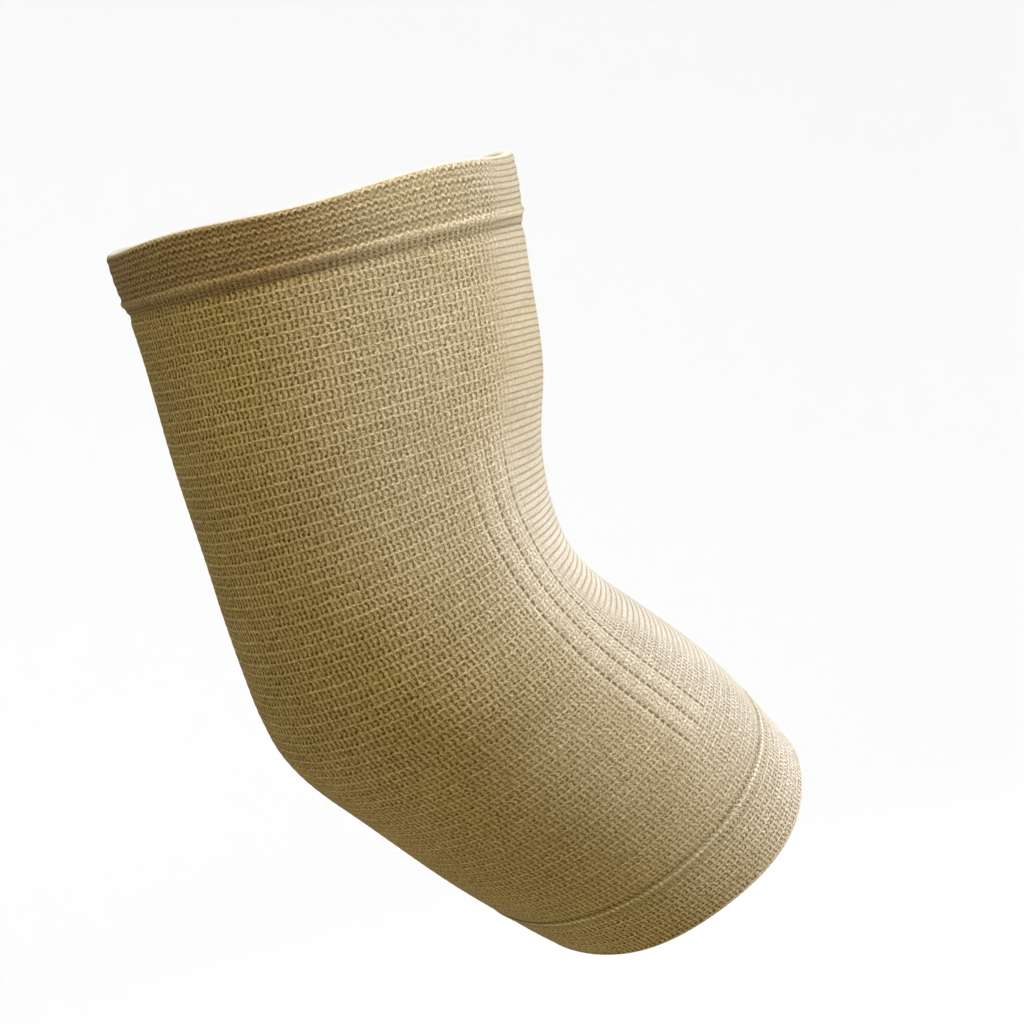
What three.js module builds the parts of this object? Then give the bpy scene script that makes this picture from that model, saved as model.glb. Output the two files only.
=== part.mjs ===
// Elbow brace: a knitted elastic sleeve, bent as it is worn, with a doubled cuff at the upper arm,
// stitched ribs beside the crook and a turned hem at the forearm.
// Millimetres. The origin is the elbow's centre, +Z runs up the upper arm, and the forearm turns towards +X.
import * as THREE from 'three';

// Lengths along the middle line, from the upper rim to the lower one
const upperArmLength = 84.5;
const elbowLength = 52.5;
const forearmLength = 69;

// The turn of the forearm, in degrees, and the outer radii at the upper rim, the elbow and the lower rim
const bendAngle = 43;
const upperArmRadius = 50.6;
const elbowRadius = 43;
const forearmRadius = 42.4;

// The knit and its two cuffs
const knitThickness = 1.8;
const upperCuffHeight = 17.4;
const upperCuffThickness = 3.4;
const forearmCuffHeight = 20.5;
const forearmCuffThickness = 3;
const upperRimWave = 1.6;
const forearmRimWave = 0.9;
const rimWaveCount = 5;
const seamDepth = 0.5;
const seamWidth = 3;
const seamRidgeHeight = 0.5;
const seamGap = 0.3;

// The groove lines beside the crook, and the ribs that stand up between them
const ribSpacing = 5.8;
const ribHeight = 0.6;
const ribGrooveDepth = 0.5;
const ribFade = 6;
const ribTopDistance = 58;
const ribBottomDistance = 167;

const knitColour = 0xa68f68;
const cuffColour = 0x9c865f;

// Sections of the sleeve. Place is 0 at the upper rim, 1 and 2 where the turn begins and ends, and 3 at the
// lower rim. Depth, width and shift are shares of the radius there: shift moves a section towards the crook.
// Tilt is the share of the bend angle by which the section's plane has turned.
const sections = [
  { place: 0.0, depth: 1.04, width: 0.953, shift: 0.02, tilt: 0.042 },
  { place: 0.3, depth: 1.028, width: 0.913, shift: 0.029, tilt: 0.004 },
  { place: 0.63, depth: 1.031, width: 0.901, shift: 0.02, tilt: 0.064 },
  { place: 0.92, depth: 0.972, width: 0.893, shift: -0.022, tilt: 0.211 },
  { place: 1.25, depth: 0.981, width: 0.956, shift: -0.016, tilt: 0.371 },
  { place: 1.63, depth: 1.031, width: 1.055, shift: -0.027, tilt: 0.486 },
  { place: 2.07, depth: 1.03, width: 1.08, shift: 0, tilt: 0.628 },
  { place: 2.5, depth: 1.015, width: 1.119, shift: 0.013, tilt: 0.748 },
  { place: 3.0, depth: 0.911, width: 1.119, shift: -0.007, tilt: 0.823 },
];

// The middle groove line's angle round the section, in degrees from the crook, at each place along the sleeve
const ribLine = [
  { place: 0.7, angle: 86 },
  { place: 1.2, angle: 78.5 },
  { place: 1.55, angle: 74 },
  { place: 2.0, angle: 75.5 },
  { place: 2.45, angle: 77.5 },
];

// Outer faces of the two cuffs, from the seam to the rim: the way from the seam in seam widths, the height
// in heights of the stitched ridge, and the share of the rim's wave that moves the row.
const upperCuffFace = [
  { fromSeam: 0.35, height: 1 },
  { fromSeam: 1, height: 0.7 },
  { fromSeam: 1.8, height: 0.2 },
  { fromSeam: 3.2, height: 0.6, dip: 0.5 },
];
const forearmCuffFace = [
  { fromSeam: 0.4, height: 0 },
  { fromSeam: 1, height: 0.4 },
  { fromSeam: 4.1, height: 0.2, dip: 0.5 },
];
const cuffInnerFace = [{ fromSeam: 3 }, { fromSeam: 0.7 }];

// How the columns of the mesh share half of the way round: to the ribs, over them, and on to the back
const crookColumns = 7;
const ribColumns = [-1.5, -1, -0.5, 0, 0.5, 1, 1.5];
const backColumns = 9;
const tubeRows = 30;
const rimRows = 4;

const degree = Math.PI / 180;
const sleeveLength = upperArmLength + elbowLength + forearmLength;
const upperSeam = upperCuffHeight;
const forearmSeam = sleeveLength - forearmCuffHeight;
const ribStep = ribSpacing / elbowRadius / degree;

// A smooth curve through the rows of a table, read at any place
function curveThrough(rows, names) {
  const places = Float64Array.from(rows, (row) => row.place);
  const values = Float64Array.from(rows.flatMap((row) => names.map((name) => row[name])));
  return new THREE.CubicInterpolant(places, values, names.length, new Float64Array(names.length));
}

// A distance along the middle line as a place: each whole number is the end of one of its three lengths
const elbowPlace = 1.5;
function placeAt(distance) {
  if (distance < upperArmLength) return distance / upperArmLength;
  if (distance < upperArmLength + elbowLength) return 1 + (distance - upperArmLength) / elbowLength;
  return 2 + (distance - upperArmLength - elbowLength) / forearmLength;
}

function radiusAt(place) {
  if (place < elbowPlace) return THREE.MathUtils.lerp(upperArmRadius, elbowRadius, place / elbowPlace);
  return THREE.MathUtils.lerp(elbowRadius, forearmRadius, (place - elbowPlace) / elbowPlace);
}

// The middle line runs down the upper arm, turns with an eased start and end, and runs on along the forearm
const middleStep = 0.25;
const middleLine = [new THREE.Vector2(0, 0)];
for (let distance = 0; distance < sleeveLength + middleStep; distance += middleStep) {
  const turn = THREE.MathUtils.smoothstep(
    distance + middleStep / 2,
    upperArmLength,
    upperArmLength + elbowLength,
  );
  const heading = bendAngle * degree * turn;
  const last = middleLine[middleLine.length - 1];
  middleLine.push(
    new THREE.Vector2(last.x + Math.sin(heading) * middleStep, last.y - Math.cos(heading) * middleStep),
  );
}

function middlePoint(distance) {
  const steps = distance / middleStep;
  const index = Math.floor(steps);
  return middleLine[index].clone().lerp(middleLine[index + 1], steps - index);
}

const elbowCentre = middlePoint(upperArmLength + elbowLength / 2);
const sectionCurve = curveThrough(sections, ['depth', 'width', 'shift', 'tilt']);
const ribCurve = curveThrough(ribLine, ['angle']);

// A point of the sleeve: how far along, at what angle from the crook in degrees, and how far outside its face
function sleevePoint(distance, angle, offset) {
  const place = placeAt(distance);
  const radius = radiusAt(place);
  const [depth, width, shift, tilt] = sectionCurve.evaluate(place);
  const middle = middlePoint(distance).sub(elbowCentre);
  const towardsCrook = shift * radius + (depth * radius + offset) * Math.cos(angle * degree);
  const sideways = (width * radius + offset) * Math.sin(angle * degree);
  const planeTurn = tilt * bendAngle * degree;
  return new THREE.Vector3(
    middle.x + towardsCrook * Math.cos(planeTurn),
    -sideways,
    middle.y + towardsCrook * Math.sin(planeTurn),
  );
}

// The columns of one section, as an angle and as a count of rib steps from the middle groove line
function columnsAt(place) {
  const lastPlace = ribLine[ribLine.length - 1].place;
  const middle = ribCurve.evaluate(THREE.MathUtils.clamp(place, ribLine[0].place, lastPlace))[0];
  const first = middle + ribColumns[0] * ribStep;
  const last = middle + ribColumns[ribColumns.length - 1] * ribStep;
  const half = [];
  for (let i = 0; i < crookColumns; i += 1) half.push({ angle: (first * i) / crookColumns, rib: null });
  for (const rib of ribColumns) half.push({ angle: middle + rib * ribStep, rib });
  for (let i = 1; i <= backColumns; i += 1) {
    half.push({ angle: last + ((180 - last) * i) / backColumns, rib: null });
  }
  const mirrored = half.slice(1, -1).reverse();
  return [...half, ...mirrored.map(({ angle, rib }) => ({ angle: -angle, rib }))];
}

// Relief of the ribs: a groove at each whole step from the middle line, a raised rib between two grooves
function ribRelief(distance, rib) {
  if (rib === null || Math.abs(rib) > 1) return 0;
  const fadeIn = THREE.MathUtils.smoothstep(distance, ribTopDistance, ribTopDistance + ribFade);
  const fadeOut = 1 - THREE.MathUtils.smoothstep(distance, ribBottomDistance - ribFade, ribBottomDistance);
  const profile = Number.isInteger(rib) ? -ribGrooveDepth : ribHeight;
  return profile * fadeIn * fadeOut;
}

// How far the rim's wave draws it in at an angle, from 0 on a crest to 1 in a dip
function rimDip(angle) {
  return 0.5 - 0.5 * Math.sin(rimWaveCount * angle * degree);
}

// A closed ring-shaped body. Its profile is a closed list of rows, each with a distance along the sleeve,
// an offset from the outer face, how far the rim's dips move it, and whether it carries the ribs' relief.
function knittedRing(name, profile, colour) {
  const positions = [];
  const indices = [];
  const columnCount = columnsAt(0).length;
  for (const { distance, offset, dip = 0, ribbed = false } of profile) {
    for (const { angle, rib } of columnsAt(placeAt(distance))) {
      const relief = ribbed ? ribRelief(distance, rib) : 0;
      positions.push(...sleevePoint(distance + dip * rimDip(angle), angle, offset + relief).toArray());
    }
  }
  for (let row = 0; row < profile.length; row += 1) {
    for (let column = 0; column < columnCount; column += 1) {
      const nextRow = (row + 1) % profile.length;
      const nextColumn = (column + 1) % columnCount;
      const a = row * columnCount + column;
      const b = row * columnCount + nextColumn;
      const c = nextRow * columnCount + nextColumn;
      const d = nextRow * columnCount + column;
      indices.push(a, b, c, a, c, d);
    }
  }
  const geometry = new THREE.BufferGeometry();
  geometry.setAttribute('position', new THREE.Float32BufferAttribute(positions, 3));
  geometry.setIndex(indices);
  geometry.computeVertexNormals();
  const material = new THREE.MeshStandardMaterial({ color: colour, roughness: 0.9, metalness: 0 });
  const mesh = new THREE.Mesh(geometry, material);
  mesh.name = name;
  return mesh;
}

// The round of a folded rim, from the outer face over the crest to the inner face
function foldedRim(crest, inward, thickness, dip) {
  const rows = [];
  for (let i = 0; i <= rimRows; i += 1) {
    const turn = (Math.PI * i) / rimRows;
    const distance = crest + (inward * thickness * (1 - Math.sin(turn))) / 2;
    rows.push({ distance, offset: (-thickness * (1 - Math.cos(turn))) / 2, dip: inward * dip });
  }
  return rows;
}

// A cuff, doubled from its seam to its folded rim
function cuff(name, seam, rim, thickness, wave, outerFace) {
  const away = Math.sign(rim - seam);
  const outer = outerFace.map(({ fromSeam, height, dip = 0 }) => ({
    distance: seam + away * fromSeam * seamWidth,
    offset: height * seamRidgeHeight,
    dip: -away * dip * wave,
  }));
  const inner = cuffInnerFace.map(({ fromSeam }) => ({
    distance: seam + away * fromSeam * seamWidth,
    offset: -thickness,
  }));
  const profile = [
    { distance: seam, offset: -seamDepth },
    ...outer,
    ...foldedRim(rim, -away, thickness, wave),
    ...inner,
    { distance: seam, offset: -seamDepth - knitThickness },
  ];
  return knittedRing(name, away > 0 ? profile : profile.reverse(), cuffColour);
}

// The main tube, one knit thick, drawn in a little at each seam
function knitTube() {
  const top = upperSeam + seamGap;
  const bottom = forearmSeam - seamGap;
  const outer = [];
  const inner = [];
  for (let i = 0; i <= tubeRows; i += 1) {
    const distance = THREE.MathUtils.lerp(top, bottom, i / tubeRows);
    const fromSeam = Math.min(distance - top, bottom - distance);
    const drawnIn = -seamDepth * (1 - THREE.MathUtils.smoothstep(fromSeam, 0, seamWidth));
    outer.push({ distance, offset: drawnIn, ribbed: true });
    inner.push({ distance, offset: drawnIn - knitThickness });
  }
  return knittedRing('knit_tube', [...outer, ...inner.reverse()], knitColour);
}

const group = new THREE.Group();
group.add(
  cuff('upper_cuff', upperSeam, 0, upperCuffThickness, upperRimWave, upperCuffFace),
  knitTube(),
  cuff('forearm_cuff', forearmSeam, sleeveLength, forearmCuffThickness, forearmRimWave, forearmCuffFace),
);

export default group;
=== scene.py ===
import math

import bmesh
import bpy
import numpy as np
from mathutils import Matrix, Vector


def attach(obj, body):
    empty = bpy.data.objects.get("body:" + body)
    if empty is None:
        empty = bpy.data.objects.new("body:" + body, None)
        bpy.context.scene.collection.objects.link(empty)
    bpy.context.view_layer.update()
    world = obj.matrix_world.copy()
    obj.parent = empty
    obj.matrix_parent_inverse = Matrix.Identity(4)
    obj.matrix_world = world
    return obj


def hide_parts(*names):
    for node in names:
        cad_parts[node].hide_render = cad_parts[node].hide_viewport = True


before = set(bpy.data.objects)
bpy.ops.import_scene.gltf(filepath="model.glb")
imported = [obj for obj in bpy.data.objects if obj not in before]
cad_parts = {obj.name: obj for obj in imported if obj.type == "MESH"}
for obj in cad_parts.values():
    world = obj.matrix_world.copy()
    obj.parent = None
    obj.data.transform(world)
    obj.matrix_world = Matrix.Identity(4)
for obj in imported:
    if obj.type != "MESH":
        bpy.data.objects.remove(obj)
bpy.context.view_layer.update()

# Camera. It stands close to the sleeve and a little above its middle, on the side of one row of ribs, and
# is turned some degrees about its own line of sight, as in the photograph.
camera_azimuth = math.radians(-38.1)
camera_elevation = math.radians(5.58)
camera_roll = math.radians(-13.04)
camera_distance = 0.7
camera_target = Vector((0.03635, 0, 0.02235))
# The photograph's width and its lens's focal length, both in its own pixels
photo_width = 1024
photo_focal_length = 2745

to_camera = Vector((
    math.sin(camera_azimuth) * math.cos(camera_elevation),
    -math.cos(camera_azimuth) * math.cos(camera_elevation),
    math.sin(camera_elevation),
))
level_right = (-to_camera).cross(Vector((0, 0, 1))).normalized()
level_up = level_right.cross(-to_camera)
camera_right = math.cos(camera_roll) * level_right + math.sin(camera_roll) * level_up
camera_up = math.cos(camera_roll) * level_up - math.sin(camera_roll) * level_right
camera_data = bpy.data.cameras.new("photo_camera")
camera_data.lens = photo_focal_length / photo_width * camera_data.sensor_width
camera = bpy.data.objects.new("photo_camera", camera_data)
camera_turn = Matrix((camera_right, camera_up, to_camera)).transposed().to_4x4()
camera.matrix_world = Matrix.Translation(camera_target + camera_distance * to_camera) @ camera_turn
bpy.context.scene.collection.objects.link(camera)
bpy.context.scene.camera = camera

# Studio. A pale floor well below the held sleeve rises all round into a smooth wall, under a white sky. A
# soft lamp stands near the sleeve on the crook's side, and a weaker one above it and towards the camera.
floor_height = -0.26
floor_radius = 0.9
floor_half_width = 2.4
floor_rise = 0.9


def add_piece(name, shape, finish):
    """Turns a finished bmesh into a scene object at the origin."""
    mesh = bpy.data.meshes.new(name)
    shape.to_mesh(mesh)
    shape.free()
    piece = bpy.data.objects.new(name, mesh)
    bpy.context.scene.collection.objects.link(piece)
    mesh.materials.append(finish)
    return piece


floor_shape = bmesh.new()
bmesh.ops.create_grid(floor_shape, x_segments=64, y_segments=64, size=floor_half_width)
for vert in floor_shape.verts:
    beyond = max(0.0, vert.co.xy.length - floor_radius)
    vert.co.z = floor_height + floor_rise * beyond ** 2
for face in floor_shape.faces:
    face.smooth = True
floor_finish = bpy.data.materials.new("studio_white")
floor_finish.use_nodes = True
floor_shader = floor_finish.node_tree.nodes["Principled BSDF"]
floor_shader.inputs["Base Color"].default_value = (0.95, 0.95, 0.95, 1)
floor_shader.inputs["Roughness"].default_value = 0.9
floor = add_piece("studio_floor", floor_shape, floor_finish)

sky = bpy.data.worlds.new("studio_sky")
sky.use_nodes = True
sky.node_tree.nodes["Background"].inputs["Color"].default_value = (1, 1, 1, 1)
sky.node_tree.nodes["Background"].inputs["Strength"].default_value = 1.0
bpy.context.scene.world = sky
bpy.context.scene.view_settings.view_transform = "Standard"

# Where each lamp stands from the point the camera looks at, along the camera's right, up and backward
# directions in metres, with its width in metres and its power in watts
lamps = {
    "crook_lamp": ((0.49, -0.17, -0.145), 0.25, 6.4),
    "top_lamp": ((-0.02, 0.36, 0.24), 0.2, 2.6),
}
for lamp_name, (place, width, power) in lamps.items():
    lamp_data = bpy.data.lights.new(lamp_name, "AREA")
    lamp_data.size = width
    lamp_data.energy = power
    reach = place[0] * camera_right + place[1] * camera_up + place[2] * to_camera
    lamp = bpy.data.objects.new(lamp_name, lamp_data)
    lamp.location = camera_target + reach
    lamp.rotation_mode = "QUATERNION"
    lamp.rotation_quaternion = (-reach).to_track_quat("-Z", "Y")
    lamp.visible_camera = False
    bpy.context.scene.collection.objects.link(lamp)

# Main sleeve. One tube of elastic knit, stretched into its worn form and bent at the elbow. Its courses run
# round it and its wales along it, with a fine inlaid elastic yarn after every second course.
upper_arm_length = 84.5
elbow_length = 52.5
forearm_length = 69.0
bend_angle = math.radians(43)
upper_arm_radius = 50.6
elbow_radius = 43.0
forearm_radius = 42.4
knit_thickness = 1.8
upper_seam = 17.4
forearm_cuff_height = 20.5
seam_depth = 0.5
hem_depth = 0.2
seam_width = 3.0
millimetre = 0.001

# Place is 0 at the upper rim, 1 and 2 where the bend begins and ends, and 3 at the lower rim. Depth, width
# and shift are shares of the radius, and tilt is the share of the bend by which the section has turned.
section_columns = ("place", "depth", "width", "shift", "tilt")
section_rows = np.array([
    (0.00, 1.040, 0.953, 0.020, 0.042),
    (0.30, 1.028, 0.913, 0.029, 0.004),
    (0.63, 1.031, 0.901, 0.020, 0.064),
    (0.92, 0.972, 0.893, -0.022, 0.211),
    (1.25, 0.981, 0.956, -0.016, 0.371),
    (1.63, 1.031, 1.055, -0.027, 0.486),
    (2.07, 1.030, 1.080, 0.000, 0.628),
    (2.50, 1.015, 1.119, 0.013, 0.748),
    (3.00, 0.911, 1.119, -0.007, 0.823),
])
sections = dict(zip(section_columns, section_rows.T))
sleeve_length = upper_arm_length + elbow_length + forearm_length
forearm_seam = sleeve_length - forearm_cuff_height


def smooth_step(value, low, high):
    share = np.clip((value - low) / (high - low), 0, 1)
    return share * share * (3 - 2 * share)


def curve_through(places, values, at):
    """A smooth curve through a table, whose slope at each row is the mean of the slopes on its two sides."""
    chord = np.diff(values) / np.diff(places)
    slope = np.concatenate([chord[:1], (chord[1:] + chord[:-1]) / 2, chord[-1:]])
    i = np.clip(np.searchsorted(places, at, "right") - 1, 0, len(places) - 2)
    width = places[i + 1] - places[i]
    t = (at - places[i]) / width
    value = values[i] * (2 * t**3 - 3 * t**2 + 1) + values[i + 1] * (3 * t**2 - 2 * t**3)
    return value + width * (slope[i] * (t**3 - 2 * t**2 + t) + slope[i + 1] * (t**3 - t**2))


def place_at(distance):
    ends = (0, upper_arm_length, upper_arm_length + elbow_length, sleeve_length)
    return np.interp(distance, ends, (0, 1, 2, 3))


middle_step = 0.25
middle_distance = np.arange(0, sleeve_length + 2 * middle_step, middle_step)
heading = bend_angle * smooth_step(
    middle_distance + middle_step / 2, upper_arm_length, upper_arm_length + elbow_length
)
middle_x = np.concatenate([[0], np.cumsum(np.sin(heading) * middle_step)[:-1]])
middle_z = np.concatenate([[0], np.cumsum(-np.cos(heading) * middle_step)[:-1]])
elbow_centre = upper_arm_length + elbow_length / 2
middle_x = middle_x - np.interp(elbow_centre, middle_distance, middle_x)
middle_z = middle_z - np.interp(elbow_centre, middle_distance, middle_z)


def sleeve_points(distance, angle, offset):
    """Points of the sleeve in metres, from how far along it, at what angle from the crook, how far off it."""
    place = place_at(distance)
    radius = np.interp(place, (0, 1.5, 3), (upper_arm_radius, elbow_radius, forearm_radius))
    depth, width, shift, tilt = (
        curve_through(sections["place"], sections[column], place) for column in section_columns[1:]
    )
    to_crook = shift * radius + (depth * radius + offset) * np.cos(angle)
    sideways = (width * radius + offset) * np.sin(angle)
    turn = tilt * bend_angle
    x = np.interp(distance, middle_distance, middle_x) + to_crook * np.cos(turn)
    z = np.interp(distance, middle_distance, middle_z) + to_crook * np.sin(turn)
    return np.stack([x, -sideways, z], axis=-1) * millimetre


# Stitches counted from the crook's middle to the back's: over the crook, across the ribs, and round the back
crook_wales = 36
rib_wales = 12
back_wales = 48
half_wales = crook_wales + rib_wales + back_wales
rib_middle = crook_wales + rib_wales / 2
wales_per_rib = 4
rib_step = math.degrees(5.8 / elbow_radius)
rib_line_place = np.array([0.7, 1.2, 1.55, 2.0, 2.45])
rib_line_angle = np.array([86, 78.5, 74, 75.5, 77.5])
half_columns = np.concatenate([
    np.linspace(0, crook_wales, 31),
    np.linspace(crook_wales, crook_wales + rib_wales, 25)[1:],
    np.linspace(crook_wales + rib_wales, half_wales, 47)[1:],
])
wale_columns = np.concatenate([-half_columns[::-1], half_columns[1:]])


def wale_angle(distance, wale):
    """The angle of a wale from the crook, in radians. The wales follow the lines of the ribs."""
    place = np.clip(place_at(distance), rib_line_place[0], rib_line_place[-1])
    middle = curve_through(rib_line_place, rib_line_angle, place)
    first = middle - 1.5 * rib_step
    last = middle + 1.5 * rib_step
    count = np.abs(wale)
    over_crook = first * count / crook_wales
    over_ribs = first + (last - first) * (count - crook_wales) / rib_wales
    over_back = last + (180 - last) * (count - crook_wales - rib_wales) / back_wales
    beyond_crook = np.where(count < crook_wales + rib_wales, over_ribs, over_back)
    angle = np.where(count < crook_wales, over_crook, beyond_crook)
    return np.radians(np.sign(wale) * angle)


def crook_share(distance, wale):
    """1 over the crook, where the knit is pressed into smooth cords, and 0 from the ribs to the back."""
    edge = np.interp(distance, (14, 20, 50, 70, 100, 120, 150, 190), (35, 38, 39, 41, 41, 38, 31, 27))
    return 1 - smooth_step(np.abs(wale), edge - 7, edge)


cord_step = 0.05
cord_margin = 20
cord_places = np.arange(-cord_margin, sleeve_length + cord_margin, cord_step)
cord_heights = np.interp(cord_places, (12, 20, 72, 97, 102, 120, 146), (1.45, 1.85, 1.92, 2, 1.8, 1.82, 2.22))
cord_counts = np.cumsum(cord_step / cord_heights)
crook_wale_width = 1.36


def cord_count(distance, wale):
    """Counts the smooth cords of the crook. They lie closer above the elbow, and slope most at the elbow."""
    slope = np.interp(distance, (15, 60, 95, 140), (0, 0.12, 0.12, 0))
    level = distance + slope * crook_wale_width * np.hypot(wale, 8)
    return np.interp(level, cord_places, cord_counts)


def pale_and_lit_share(distance, wale):
    """How much the yarn pales, from stretching and as painted light: fully at the ribs, and not at all round
    the back.
    """
    back_edge = np.interp(distance, (17, 20, 70, 105, 125, 150, 200), (74, 84, 88, 76, 74, 82, 80))
    return 1 - smooth_step(np.abs(wale), 46, back_edge)


def cream_and_sheen_share(distance, wale):
    """How white the yarn is, from stretching and painted sheen: most over the crook, more so below the elbow
    than above.
    """
    ribs_edge = np.interp(distance, (0, 40, 90, 150, 200), (50, 44, 56, 54, 60))
    most = np.interp(distance, (0, 25, 50, 105), (0.6, 0.35, 0.3, 1))
    return most * (1 - smooth_step(np.abs(wale), 26, ribs_edge))


# What a row of knit says of its columns, each read by the materials under the same name
knit_marks = ("crook", "cord", "pale", "cream", "rib", "rim", "band", "ridge")
unmarked = dict.fromkeys(knit_marks, 0)


def knitted_ring(rows):
    """A closed ring of knit: a grid is laid round the sleeve and joined to itself at both its edges.

    Each row has a distance and an offset in millimetres for every column, a count of courses, and marks."""
    ring = bmesh.new()
    stitches = ring.loops.layers.uv.new("stitches")
    layers = {mark: ring.verts.layers.float.new(mark) for mark in knit_marks}
    column_count = len(wale_columns) - 1
    row_count = len(rows)
    bmesh.ops.create_grid(ring, x_segments=column_count, y_segments=row_count, size=0.5)
    closed = rows + rows[:1]
    wale = np.broadcast_to(wale_columns, (row_count + 1, column_count + 1))
    grid = {
        key: np.stack([np.broadcast_to(row[key], column_count + 1) for row in closed])
        for key in ("distance", "offset", *knit_marks)
    }
    points = sleeve_points(grid["distance"], wale_angle(grid["distance"], wale), grid["offset"])
    courses = np.array([row["course"] for row in rows] + [2 * rows[-1]["course"] - rows[-2]["course"]])
    cell = {
        vert: (round((vert.co.y + 0.5) * row_count), round((vert.co.x + 0.5) * column_count))
        for vert in ring.verts
    }
    for face in ring.faces:
        face.smooth = True
        for loop in face.loops:
            row, column = cell[loop.vert]
            loop[stitches].uv = (wale_columns[column], courses[row])
    for vert, (row, column) in cell.items():
        vert.co = points[row, column]
        for mark, layer in layers.items():
            vert[layer] = grid[mark][row, column]
    bmesh.ops.remove_doubles(ring, verts=ring.verts, dist=0.00001)
    bmesh.ops.recalc_face_normals(ring, faces=ring.faces)
    return ring


class Wire:
    """A node's output. Sums written on it add the Math nodes that work them out."""

    def __init__(self, finish, socket):
        self.finish = finish
        self.socket = socket

    def maths(self, operation, *values):
        sockets = dict(enumerate((self, *values)))
        return self.finish.node("ShaderNodeMath", {"operation": operation}, sockets)

    def __add__(self, other):
        return self.maths("ADD", other)

    def __mul__(self, other):
        return self.maths("MULTIPLY", other)

    def __sub__(self, other):
        return self.maths("SUBTRACT", other)

    def __rsub__(self, other):
        return self.finish.node("ShaderNodeMath", {"operation": "SUBTRACT"}, {0: other, 1: self})

    def __truediv__(self, other):
        return self.maths("DIVIDE", other)

    __radd__ = __add__
    __rmul__ = __mul__

    def ramp(self, low, high):
        """0 below low and 1 above high, with a smooth rise between; the other way round if low is more."""
        if low < high:
            ends = {"From Min": low, "From Max": high, "To Min": 0.0, "To Max": 1.0}
        else:
            ends = {"From Min": high, "From Max": low, "To Min": 1.0, "To Max": 0.0}
        settings = {"interpolation_type": "SMOOTHSTEP"}
        return self.finish.node("ShaderNodeMapRange", settings, {"Value": self, **ends})


class Finish:
    """A material, with one method that adds any node: its type, its settings, and what its sockets take."""

    def __init__(self, name, **constants):
        self.material = bpy.data.materials.new(name)
        self.material.use_nodes = True
        self.tree = self.material.node_tree
        self.shader = self.tree.nodes["Principled BSDF"]
        for socket, value in constants.items():
            self.shader.inputs[socket.replace("_", " ")].default_value = value

    def node(self, kind, settings, sockets, output=0):
        made = self.tree.nodes.new(kind)
        for setting, value in settings.items():
            setattr(made, setting, value)
        for socket, value in sockets.items():
            if isinstance(value, Wire):
                self.tree.links.new(value.socket, made.inputs[socket])
            else:
                made.inputs[socket].default_value = value
        return Wire(self, made.outputs[output])

    def mix(self, share, first, second, blend="MIX"):
        """A colour that goes from first to second as share goes from 0 to 1."""
        settings = {"data_type": "RGBA", "blend_type": blend}
        return self.node("ShaderNodeMix", settings, {0: share, 6: first, 7: second}, output=2)

    def noise(self, place, scale, detail=2.0, roughness=0.5):
        sockets = {"Vector": place, "Scale": scale, "Detail": detail, "Roughness": roughness}
        return self.node("ShaderNodeTexNoise", {}, sockets)

    def voronoi(self, place, jitter):
        """Distance from the nearest of a grid of points shaken by jitter."""
        sockets = {"Vector": place, "Scale": 1.0, "Randomness": jitter}
        return self.node("ShaderNodeTexVoronoi", {"voronoi_dimensions": "2D"}, sockets)

    def speckle(self, x, y):
        """A number from 0 to 1 that is the same all over each whole step of x and y."""
        cell = self.vector((x + 0.5).maths("FLOOR"), y.maths("FLOOR"))
        return self.node("ShaderNodeTexWhiteNoise", {"noise_dimensions": "2D"}, {"Vector": cell})

    def attribute(self, name):
        return self.node("ShaderNodeAttribute", {"attribute_name": name}, {}, output=2)

    def vector(self, x, y, z=0.0):
        return self.node("ShaderNodeCombineXYZ", {}, {0: x, 1: y, 2: z})

    def paint(self, colour, height, depth):
        """Joins a colour and a height in metres to the surface."""
        self.tree.links.new(colour.socket, self.shader.inputs["Base Color"])
        bump = self.node("ShaderNodeBump", {}, {"Strength": 1.0, "Distance": depth, "Height": height})
        self.tree.links.new(bump.socket, self.shader.inputs["Normal"])


# Yarn colours. shade_colour, round the back, and tan_colour, towards the lamp, carry painted light and shade;
# cream_colour over the crook is partly painted sheen.
shade_colour = (0.262, 0.182, 0.058, 1)
tan_colour = (0.355, 0.288, 0.180, 1)
cream_colour = (0.450, 0.408, 0.345, 1)
edge_colour = (0.460, 0.425, 0.360, 1)


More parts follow.
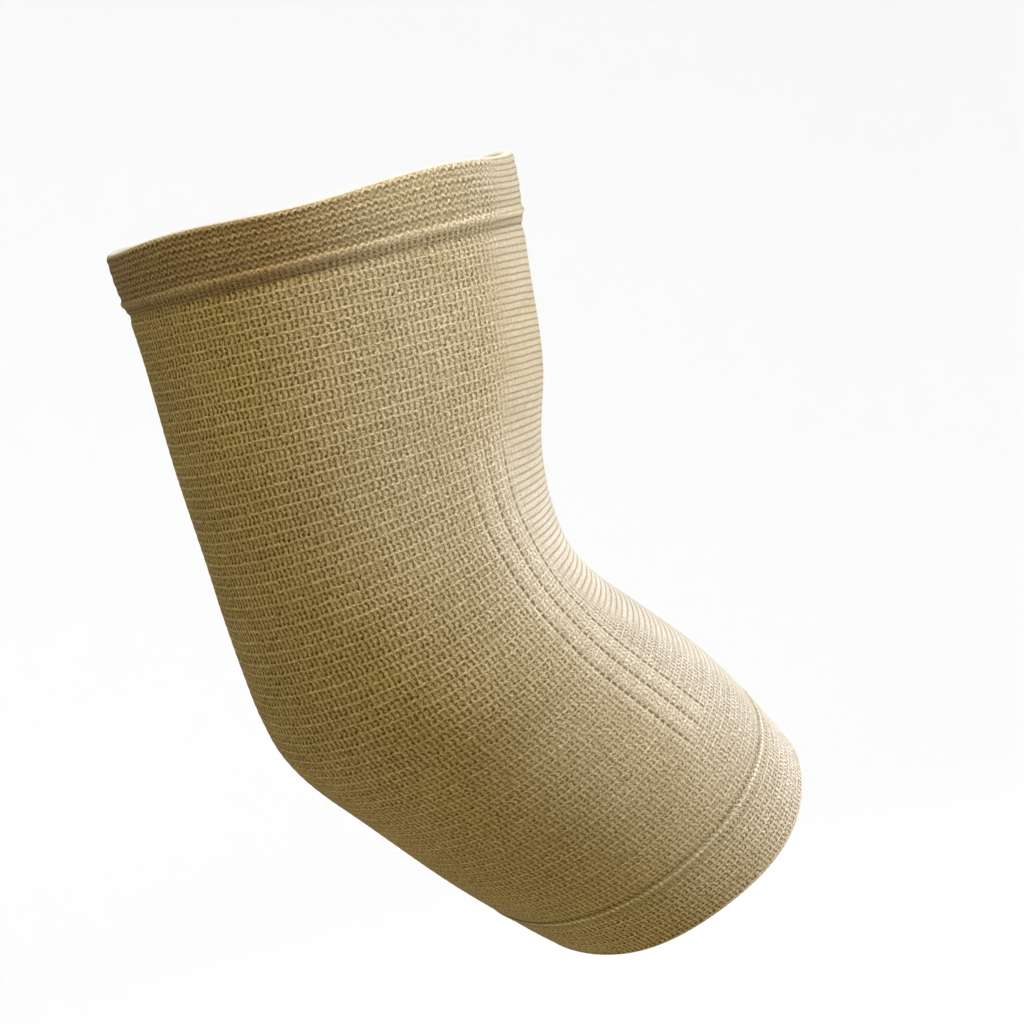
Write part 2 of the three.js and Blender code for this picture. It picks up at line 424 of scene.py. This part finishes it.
def knit_finish(name, zigzag=False, gauge=1.0, shade=shade_colour, tint=0.88):
    """Elastic knit seen close. Over the crook its loops close up into smooth cords. Elsewhere a thin pale
    yarn runs along every second course, and between two of them each wale shows a dark bow and dark dots.
    Where it is a zigzag, each course shows a dark zigzag line instead, with a pale yarn over it. These
    openings are darkened with painted shade, and the colour carries painted light: lighter towards the
    lamp, partly painted sheen over the crook, and darker round the back."""
    knit = Finish(name, Roughness=0.9, Specular_IOR_Level=0.06)
    stitches = knit.node("ShaderNodeUVMap", {"uv_map": "stitches"}, {})
    wale = knit.node("ShaderNodeSeparateXYZ", {}, {0: stitches}, output=0)
    course = knit.node("ShaderNodeSeparateXYZ", {}, {0: stitches}, output=1)
    crook = knit.attribute("crook")
    cord = knit.attribute("cord")
    pale = knit.attribute("pale")
    cream = knit.attribute("cream")
    rib = knit.attribute("rib")
    rim = knit.attribute("rim")
    band = knit.attribute("band")
    ridge = knit.attribute("ridge")
    place = knit.node("ShaderNodeTexCoord", {}, {}, output=3)

    # The yarn lies a little unevenly, so every pattern is read through a fast and a slow wobble
    wobble = knit.noise(place, 700.0, 1.0) - 0.5
    drift = knit.noise(place, 110.0) - 0.5
    row = course + wobble * 0.55 + drift * 0.4
    column = wale * gauge + drift * 0.5 + wobble * 0.35
    in_pair = (row * 0.5).maths("PINGPONG", 0.5)
    broken = knit.noise(place, 420.0, 2.0).ramp(0.3, 0.6)
    open_knit = (1.0 - crook * 0.94) * (1.0 - rim)

    # Openings between the loops, which the colour darkens with painted shade, and the pale yarn beside them
    if zigzag:
        leg = column.maths("PINGPONG", 0.5)
        from_zigzag = (row + leg * 0.9).maths("PINGPONG", 0.5)
        chance = knit.speckle(column, row)
        pit = from_zigzag.ramp(0.38, 0.1) * (0.6 + 0.4 * leg.ramp(0.34, 0.06)) * (0.55 + 0.4 * chance)
        line = from_zigzag.ramp(0.3, 0.48) * broken
    else:
        bow = 1.0 - in_pair * 2.0
        bow = bow * bow
        bowed = column - bow * 0.3
        chance = knit.speckle(bowed, row * 0.5)
        pit = (bowed.maths("PINGPONG", 0.5) / (0.5 + 0.5 * bow)).ramp(0.45, 0.1)
        pit = pit * bow.ramp(0.8, 0.4) * (0.55 + 0.35 * chance)
        dot = knit.voronoi(knit.vector(column + 0.05, row - 0.33), 0.35).ramp(0.46, 0.12)
        dot = dot * (0.55 + 0.45 * knit.speckle(column, row)) * (0.85 + 0.25 * (row * 0.5).maths("FRACT"))
        pit = pit.maths("MAXIMUM", dot) * (1.0 - 0.15 * course.ramp(70.0, 120.0))
        line = in_pair.ramp(0.13, 0.02) * broken
    # Where the yarn is painted lighter towards the lamp, the openings and the pale lines show less
    pit = pit * open_knit * (1.0 - rib * 0.35) * (1.0 - band) * (1.0 - ridge * 0.3) * (1.0 - pale * 0.2)
    line = line * open_knit * (1.0 - pale * 0.45)

    # Pin holes, painted pale glints and slanting strokes, the dark stitch holes of a seam, the furrows
    # between the crook's cords, and the grooves between the ribs. The holes, furrows and grooves are darkened
    # with painted shade.
    prick = knit.voronoi(knit.vector(column * 2.0, row * 2.0), 0.9).ramp(0.45, 0.12) * open_knit
    speck = knit.voronoi(knit.vector(column * 1.3 + 0.5, row * 1.3), 1.0).ramp(0.26, 0.05) * open_knit
    stroke = (column + row * 0.6).maths("PINGPONG", 0.5).ramp(0.2, 0.03) * chance * open_knit
    # The seam's stitch holes, darkened with painted shade in the band
    dash = (wale + drift).maths("PINGPONG", 0.5).ramp(0.34, 0.12)
    dash = dash * row.maths("PINGPONG", 0.5).ramp(0.06, 0.26)
    dash = dash * (0.5 + 0.5 * chance) * band * (1.0 - crook)
    furrow = (cord + drift * 0.25 + wobble * 0.06).maths("PINGPONG", 0.5).ramp(0.24, 0.49)
    furrow = furrow * crook * (1.0 - rim)
    from_groove = ((wale.maths("ABSOLUTE") - rib_middle) / wales_per_rib).maths("PINGPONG", 0.5)
    groove = from_groove.ramp(0.12, 0.02) * rib * (0.3 + 0.7 * in_pair.ramp(0.08, 0.3))

    # How light the yarn is: uneven by itself, with painted shade in what lies deep, and painted shade round
    # the back that deepens further down the sleeve
    painted_back_shade = wale.maths("ABSOLUTE").ramp(60.0, 80.0) * (0.5 + 0.5 * course.ramp(60.0, 130.0))
    streak = knit.noise(knit.vector(wale * 0.06, course * 0.45), 1.0, 3.0)
    patch = knit.noise(place, 42.0, 3.0)
    fuzz = knit.noise(place, 1900.0, 2.0, 0.8)
    tone = 0.22 + 0.3 * streak + 0.3 * patch + 1.2 * fuzz
    # Painted shade in the openings, pin holes, furrows, grooves and stitch holes, and painted glints on the
    # specks
    tone = tone * (1.0 + line * 0.2) * (1.0 - pit * 0.8) * (1.0 - prick * 0.4)
    tone = tone * (1.0 - furrow * 0.36) * (1.0 - groove * 0.5) * (1.0 + rib * 0.08) * (1.0 - dash * 0.7)
    tone = tone * (1.0 + stroke * 0.3) * (1.0 + speck * 0.3)
    # Painted shadow in the band beside the stitched ridge, and a painted highlight on the raised ridge
    tone = tone * (1.0 - band * 0.14) * (1.0 + ridge * 0.42) * tint
    # Painted shade round the back
    tone = (tone * (1.0 - painted_back_shade * 0.2)).maths("MAXIMUM", 0.02)

    # Painted light and shade: from the shaded back's colour to the lit tan towards the lamp
    ground = knit.mix(pale, shade, tan_colour)
    # Partly painted sheen: towards cream over the crook, where the lamp falls brightest
    ground = knit.mix(cream, ground, cream_colour)
    ground = knit.mix(rim, ground, edge_colour)
    tones = knit.vector(tone, tone.maths("POWER", 1.12), tone.maths("POWER", 1.5))
    colour = knit.mix(1.0, ground, tones, "MULTIPLY")

    height = 1.0 + line * 0.3 - pit * 0.7 + fuzz * 0.5 - furrow * 0.6 - groove * 0.6 - dash * 0.7
    knit.paint(colour, height, 0.00025)
    return knit.material


rib_top = 58
rib_bottom = 167
rib_fade = 6
rib_top_fade = 30
rib_height = 0.2
rib_groove_depth = 0.35
rib_groove_width = 0.1
rib_mark_reach = 5
course_relief = 0.03
rows_per_pair = 4
inner_row_step = 3.0
inner_paleness = 0.2


def rib_fade_at(distance):
    start = smooth_step(distance, rib_top - rib_fade, rib_top + rib_top_fade)
    return start * (1 - smooth_step(distance, rib_bottom - rib_fade, rib_bottom))


def rib_relief(distance, wale):
    """Height of the ribs: a narrow groove at each whole rib step, and a low round rib between two of them."""
    rib = (np.abs(wale) - rib_middle) / wales_per_rib
    nearest = np.abs(rib - np.round(rib))
    groove = np.exp(-((nearest / rib_groove_width) ** 2)) * (np.abs(rib) < 1.4)
    swell = np.where(np.abs(rib) < 1, np.sin(np.pi * rib) ** 2, 0)
    return rib_fade_at(distance) * (rib_height * swell - rib_groove_depth * groove)


# The courses lie a little closer together below the elbow than above it
fine_places = np.linspace(upper_seam, forearm_seam, 2000)
fine_heights = np.interp(fine_places, (36, 122), (1.19, 1.08))
fine_pairs = np.concatenate([[0], np.cumsum(np.diff(fine_places) / (2 * fine_heights[1:]))])
pair_count = round(float(fine_pairs[-1]))
pairs = np.arange(pair_count * rows_per_pair + 1) / rows_per_pair
tube_places = np.interp(pairs, fine_pairs * pair_count / fine_pairs[-1], fine_places)
tube_rows = []
for pair, distance in zip(pairs, tube_places):
    drawn_in = 1 - smooth_step(min(distance - upper_seam, forearm_seam - distance), 0, seam_width)
    swing = math.cos(2 * math.pi * pair)
    crook_here = crook_share(distance, wale_columns)
    relief = swing * course_relief * (1 - crook_here) * (1 - drawn_in)
    depth = seam_depth if distance < upper_arm_length else hem_depth
    offset = relief + rib_relief(distance, wale_columns) - depth * drawn_in
    tube_rows.append({
        **unmarked,
        "distance": distance,
        "offset": offset,
        "course": 2 * pair,
        "crook": crook_here,
        "cord": cord_count(distance, wale_columns),
        "pale": pale_and_lit_share(distance, wale_columns),
        "cream": cream_and_sheen_share(distance, wale_columns),
        "rib": rib_fade_at(distance) * (np.abs(np.abs(wale_columns) - rib_middle) <= rib_mark_reach),
    })
inner_count = round((forearm_seam - upper_seam) / inner_row_step)
for i in range(inner_count + 1):
    distance = forearm_seam + (upper_seam - forearm_seam) * i / inner_count
    course = 2 * pair_count * (1 + i / inner_count) + 2
    drawn_in = 1 - smooth_step(min(distance - upper_seam, forearm_seam - distance), 0, seam_width)
    tube_rows.append({
        **unmarked,
        "distance": distance,
        "offset": -seam_depth * drawn_in - knit_thickness,
        "course": course,
        "pale": inner_paleness,
    })
tube = add_piece("sleeve_tube", knitted_ring(tube_rows), knit_finish("sleeve_knit"))
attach(tube, "root")
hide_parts("knit_tube")

# Upper cuff. A zigzag knit whose end is folded over inwards and sewn down, so the cuff is double, with a thin
# smooth pale fold at its rim, and just above its seam a row of stitch holes and a raised, overlocked ridge.
upper_cuff_thickness = 3.4
upper_rim_wave = 1.2
rim_wave_count = 5
ridge_height = 0.55
upper_band = (0.3, 2.2)
upper_ridge = 3.0
cuff_course = 1.6
band_course = 1.15
band_fade = 0.4
ridge_reach = 0.6
cuff_half_wales = 88


def rim_dip(wale, distance):
    """How far the rim's wave draws it in, from 0 on a crest to 1 in a dip."""
    return 0.5 - 0.5 * np.sin(rim_wave_count * wale_angle(distance, wale))


def cuff_rows(seam, rim, thickness, wave, face, band, ridge, course_height, row_step=0.4, rim_rows=10):
    """A doubled cuff's rows, from its seam over the outer face, round the fold and back along the inside."""
    away = math.copysign(1, rim - seam)
    height = abs(rim - seam)
    dip = -away * wave * rim_dip(wale_columns, rim)
    outer = []
    count = round((height - thickness / 2) / row_step)
    for i in range(count + 1):
        share = i / count
        along = share * (height - thickness / 2)
        outer.append((along, face(along, height), share))
    fold = []
    for i in range(1, rim_rows + 1):
        turn = math.pi * i / rim_rows
        along = height - thickness / 2 * (1 - math.sin(turn))
        fold.append((along, -thickness / 2 * (1 - math.cos(turn)), 1))
    inner_steps = round((height - thickness / 2) / 2)
    inner = []
    for i in range(1, inner_steps + 1):
        share = 1 - i / inner_steps
        along = share * (height - thickness / 2)
        inner.append((along, -thickness if along > 2 else -seam_depth - knit_thickness, share))
    rows = []
    course = 0
    last = (0, 0)
    for along, offset, share in outer + fold + inner:
        middle = float(np.mean(offset))
        in_band = band[0] < along < band[1]
        course += math.hypot(along - last[0], middle - last[1]) / (band_course if in_band else course_height)
        last = (along, middle)
        edge = max(0.0, 1 - abs(along - height) / (thickness * 0.42))
        distance = seam + away * along
        outside = offset > -thickness / 3
        band_start = smooth_step(along, band[0] - band_fade, band[0])
        band_end = smooth_step(along, band[1], band[1] + band_fade)
        rows.append({
            **unmarked,
            "distance": distance + dip * share,
            "offset": offset,
            "course": course,
            "crook": crook_share(distance, wale_columns),
            "cord": cord_count(distance, wale_columns),
            "pale": pale_and_lit_share(distance, wale_columns),
            "cream": cream_and_sheen_share(distance, wale_columns),
            "rim": smooth_step(edge, 0.4, 0.9),
            "band": outside * band_start * (1 - band_end),
            "ridge": outside * math.exp(-(((along - ridge) / ridge_reach) ** 2)),
        })
    return rows


def upper_cuff_face(along, height):
    """The upper cuff's outer face: the stitched ridge by the seam, then a slight swell towards the rim."""
    ridge = ridge_height * math.exp(-(((along - upper_ridge) / 1.1) ** 2))
    swell = 0.35 * math.sin(math.pi * min(along / height, 1)) ** 2
    drawn_in = -seam_depth * (1 - float(smooth_step(along, 0, 0.9)))
    return ridge + swell + drawn_in + 0.07 * math.cos(2 * math.pi * along / (2 * cuff_course))


upper_cuff_rows = cuff_rows(
    seam=upper_seam, rim=0, thickness=upper_cuff_thickness, wave=upper_rim_wave, face=upper_cuff_face,
    band=upper_band, ridge=upper_ridge, course_height=cuff_course,
)
cuff_gauge = cuff_half_wales / half_wales
cuff_shade = (0.215, 0.142, 0.056, 1)
cuff_finish = knit_finish("cuff_knit", zigzag=True, gauge=cuff_gauge, shade=cuff_shade, tint=0.79)
upper_cuff = add_piece("upper_cuff_knit", knitted_ring(upper_cuff_rows), cuff_finish)
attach(upper_cuff, "root")
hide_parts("upper_cuff")


def whip_thread(distance, half_width, half_height, offset, radius, turns, points_per_turn=8, sides=6):
    """An overlocking thread. It winds round the seam's edge on its way round the sleeve to its start."""
    count = turns * points_per_turn
    share = np.arange(count) / count
    phase = 2 * np.pi * turns * share
    wale = (2 * share - 1) * half_wales
    across = distance + half_width * np.cos(phase)
    path = sleeve_points(across, wale_angle(distance + 0 * wale, wale), offset + half_height * np.sin(phase))
    along = np.roll(path, -1, axis=0) - np.roll(path, 1, axis=0)
    along /= np.linalg.norm(along, axis=1, keepdims=True)
    side = np.cross(along, np.roll(path, -points_per_turn, axis=0) - path)
    side /= np.linalg.norm(side, axis=1, keepdims=True)
    lift = np.cross(side, along)
    thread = bmesh.new()
    pale = thread.verts.layers.float.new("pale")
    bmesh.ops.create_grid(thread, x_segments=count, y_segments=sides, size=0.5)
    for vert in thread.verts:
        step = round((vert.co.x + 0.5) * count) % count
        turn = 2 * math.pi * (vert.co.y + 0.5)
        ring = math.cos(turn) * side[step] + math.sin(turn) * lift[step]
        vert.co = path[step] + radius * millimetre * ring
        # The thread takes the knit's painted light
        vert[pale] = pale_and_lit_share(distance, wale[step])
    for face in thread.faces:
        face.smooth = True
    bmesh.ops.remove_doubles(thread, verts=thread.verts, dist=0.000001)
    bmesh.ops.recalc_face_normals(thread, faces=thread.faces)
    return thread


def thread_finish(name, colour, dark):
    """Spun cotton thread: pale, dull and a little fluffy."""
    yarn = Finish(name, Roughness=0.9, Specular_IOR_Level=0.06)
    place = yarn.node("ShaderNodeTexCoord", {}, {}, output=3)
    uneven = yarn.noise(place, 420.0, 3.0, 0.65)
    fibre = yarn.noise(place, 4200.0, 2.0)
    pale = yarn.attribute("pale")
    # Painted light: the thread is pale where the knit is painted lighter towards the lamp, and dark round the
    # back
    colour = yarn.mix(pale * pale * (0.4 + uneven.ramp(0.34, 0.62) * 0.6), dark, colour)
    yarn.paint(colour, fibre, 0.0001)
    return yarn.material


ridge_thread_finish = thread_finish("ridge_thread", (0.38, 0.31, 0.20, 1), (0.20, 0.14, 0.06, 1))
upper_thread_shape = whip_thread(
    distance=upper_seam - upper_ridge, half_width=0.5, half_height=0.1, offset=0.42, radius=0.2, turns=192
)
upper_thread = add_piece("upper_ridge_yarn", upper_thread_shape, ridge_thread_finish)
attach(upper_thread, "root")

# Forearm cuff. A hem of the same knit, turned inwards and held by two fine rows of thread: one along its seam
# and one just below it, over a row of stitch holes. Its folded edge is thin and pale.
hem_course = 1.07
forearm_cuff_thickness = 3.0
forearm_rim_wave = 0.9
forearm_band = (1.7, 3.4)
forearm_ridge = 1.0


def forearm_cuff_face(along, height):
    drawn_in = -hem_depth * (1 - float(smooth_step(along, 0, 1.2)))
    swell = 0.2 * math.sin(math.pi * min(along / height, 1)) ** 2
    return drawn_in + swell + 0.06 * math.cos(2 * math.pi * along / (2 * cuff_course))


forearm_cuff_rows = cuff_rows(
    seam=forearm_seam, rim=sleeve_length, thickness=forearm_cuff_thickness, wave=forearm_rim_wave,
    face=forearm_cuff_face, band=forearm_band, ridge=forearm_ridge, course_height=hem_course,
)
hem_finish = knit_finish("hem_knit", shade=(0.225, 0.155, 0.048, 1), tint=0.97)
forearm_cuff = add_piece("forearm_cuff_knit", knitted_ring(forearm_cuff_rows), hem_finish)
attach(forearm_cuff, "root")
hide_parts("forearm_cuff")

hem_thread_finish = thread_finish("hem_thread", (0.50, 0.43, 0.28, 1), (0.23, 0.165, 0.06, 1))
hem_thread_shape = whip_thread(
    distance=forearm_seam - 0.1, half_width=0.5, half_height=0.12, offset=0.02, radius=0.17, turns=170
)
hem_thread = add_piece("hem_thread", hem_thread_shape, hem_thread_finish)
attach(hem_thread, "root")
hem_cover_shape = whip_thread(
    distance=forearm_seam + 2.2, half_width=0.4, half_height=0.12, offset=-0.02, radius=0.12, turns=170
)
hem_cover_thread = add_piece("hem_cover_thread", hem_cover_shape, hem_thread_finish)
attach(hem_cover_thread, "root")
